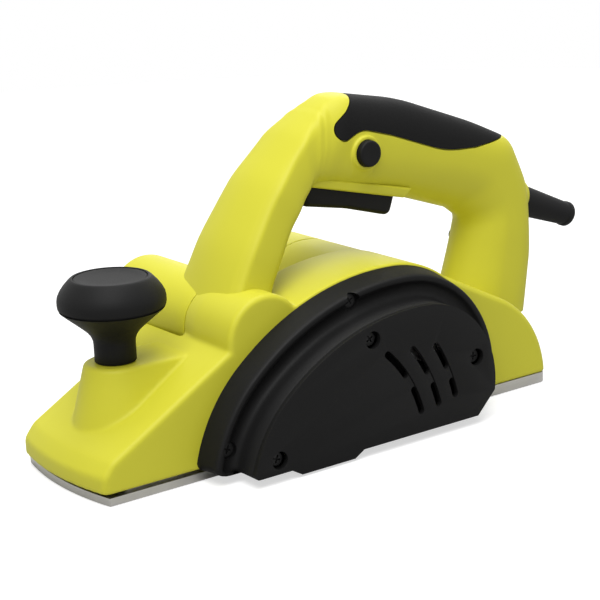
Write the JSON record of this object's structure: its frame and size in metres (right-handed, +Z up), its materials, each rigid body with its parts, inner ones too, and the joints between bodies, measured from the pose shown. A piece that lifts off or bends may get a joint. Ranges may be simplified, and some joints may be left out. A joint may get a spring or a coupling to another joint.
{
  "type": "electric hand planer",
  "caption": "Electric hand planer with a belt-driven cutter drum, a depth knob over a sliding front shoe, a trigger handle and a side chip outlet.",
  "frame": {"origin": "centre of the base in plan, on the plane of the rear sole", "axes": "+X from the depth knob to the cord inlet, +Y to the right, on the chip outlet's side, +Z up from the sole"},
  "size_m": [0.3527, 0.145, 0.1746],
  "materials": {
    "lime_shell": "lime-yellow moulded plastic, satin",
    "black_plastic": "black moulded plastic, fine texture",
    "grip_rubber": "soft black overmould",
    "black_rubber": "matte black rubber",
    "cast_aluminium": "milled and cast, satin",
    "black_steel": "black oxide",
    "bright_steel": "ground",
    "lamination_steel": "stacked sheet",
    "copper_wire": "copper",
    "yellow_brass": "turned",
    "carbon": "dense carbon",
    "capacitor_case": "moulded box"
  },
  "bodies": {
    "planer": {"rear_base": "cast_aluminium", "shoe_springs": "bright_steel", "main_housing": "lime_shell", "chip_outlet": "lime_shell", "motor_end_cap": "lime_shell", "handle_shell": "lime_shell", "handle_cover": "lime_shell", "grip_pad": "grip_rubber", "belt_frame": "black_plastic", "belt_cover": "black_plastic", "frame_screws": "black_steel", "cover_screws": "black_steel", "handle_screws": "black_steel", "base_screws": "black_steel", "end_cap_screws": "black_steel", "bearing_cap": "black_plastic", "bearing_cap_screws": "black_steel", "fence_insert": "yellow_brass", "drum_bearing_outer": "bright_steel", "motor_bearing_outer": "bright_steel", "bearing_balls": "bright_steel", "drive_belt": "black_rubber", "stator_core": "lamination_steel", "field_coils": "copper_wire", "brush_holders": "yellow_brass", "carbon_brushes": "carbon", "brush_springs": "bright_steel", "brush_caps": "black_plastic", "switch_body": "black_plastic", "trigger_pin": "bright_steel", "trigger_spring": "bright_steel", "lock_spring": "bright_steel", "capacitor": "capacitor_case", "cord_clamp": "black_plastic", "clamp_screws": "black_steel", "cord_boot": "black_rubber"},
    "knob": {"depth_knob": "black_plastic", "knob_cap": "black_plastic", "knob_nut": "bright_steel", "depth_spindle": "bright_steel", "spindle_clip": "bright_steel"},
    "shoe": {"front_shoe": "cast_aluminium"},
    "cutter": {"cutter_drum": "cast_aluminium", "drum_shaft": "bright_steel", "cutter_blades": "bright_steel", "blade_clamps": "bright_steel", "clamp_bolts": "black_steel", "drum_pulley": "black_plastic", "pulley_nut": "bright_steel", "drum_bearing_inner": "bright_steel"},
    "rotor": {"motor_pulley": "cast_aluminium", "motor_shaft": "bright_steel", "armature_core": "lamination_steel", "armature_windings": "copper_wire", "commutator": "copper_wire", "cooling_fan": "black_plastic", "motor_bearing_inner": "bright_steel"},
    "trigger": {"trigger": "black_plastic"},
    "lock": {"lock_button": "black_plastic"}
  },
  "joints": [
    {"name": "knob_turn", "type": "hinge", "parent": "planer", "child": "knob", "pos_m": [-0.112, 0, 0.057], "axis": [0, 0, -1], "range_deg": [0, 360]},
    {"name": "shoe_lift", "type": "slide", "parent": "planer", "child": "shoe", "axis": [0, 0, 1], "range_m": [0, 0.0015], "deforming": ["shoe_springs"]},
    {"name": "cutter_spin", "type": "hinge", "parent": "planer", "child": "cutter", "pos_m": [-0.031, 0, 0.0242], "axis": [0, 1, 0], "continuous": true},
    {"name": "rotor_spin", "type": "hinge", "parent": "planer", "child": "rotor", "pos_m": [0.035, 0, 0.049], "axis": [0, 1, 0], "continuous": true},
    {"name": "trigger_pull", "type": "hinge", "parent": "planer", "child": "trigger", "pos_m": [0.005, 0, 0.134], "axis": [0, -1, 0], "range_deg": [0, 5.5], "stiffness_Nm_per_rad": 1.5, "springref_deg": -5.73, "deforming": ["trigger_spring"]},
    {"name": "lock_press", "type": "slide", "parent": "planer", "child": "lock", "axis": [0, 1, 0], "range_m": [0, 0.003], "stiffness_N_per_m": 600, "springref_m": -0.003, "deforming": ["lock_spring"]}
  ],
  "couplings": [
    {"joint": "knob_turn", "follows": "shoe_lift", "rad_per_m": 4188.8},
    {"joint": "rotor_spin", "follows": "cutter_spin", "ratio": 1.8947}
  ]
}
